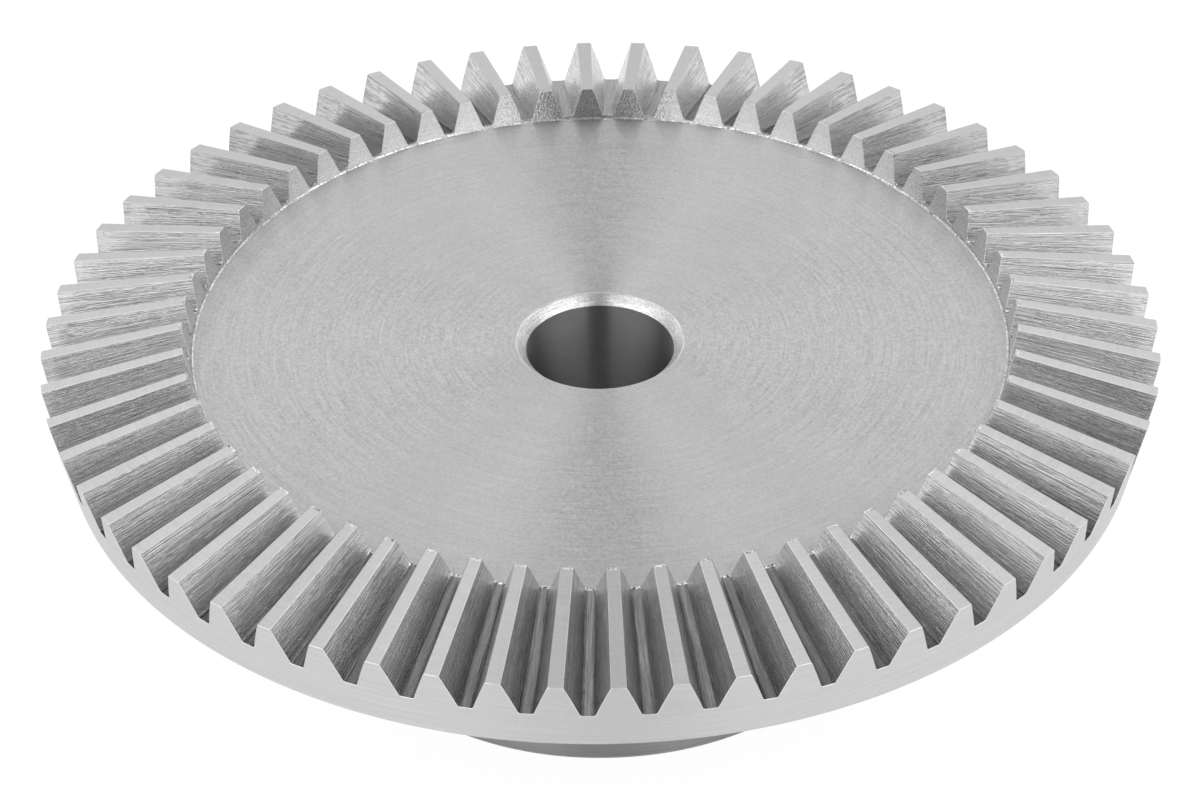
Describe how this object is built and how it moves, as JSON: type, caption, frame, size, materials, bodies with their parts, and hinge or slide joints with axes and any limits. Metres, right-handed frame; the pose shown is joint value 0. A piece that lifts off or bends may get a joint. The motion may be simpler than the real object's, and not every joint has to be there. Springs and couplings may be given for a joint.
{
  "type": "straight bevel gear",
  "caption": "Large straight bevel gear wheel: tapered teeth round a flat plate, a plain chamfered bore, and a round hub below.",
  "frame": {"origin": "centre of the flat end of the hub, on the wheel's axis", "axes": "+Z along the wheel's axis, from the hub's end towards the teeth; +X through the middle of a tooth"},
  "size_m": [0.1206, 0.1206, 0.0379],
  "materials": {
    "machined_steel": "bare machined steel: turned plate, rim, hub and bore, and milled tooth flanks"
  },
  "bodies": {
    "root": {"bevel_gear": "machined_steel"}
  },
  "joints": []
}
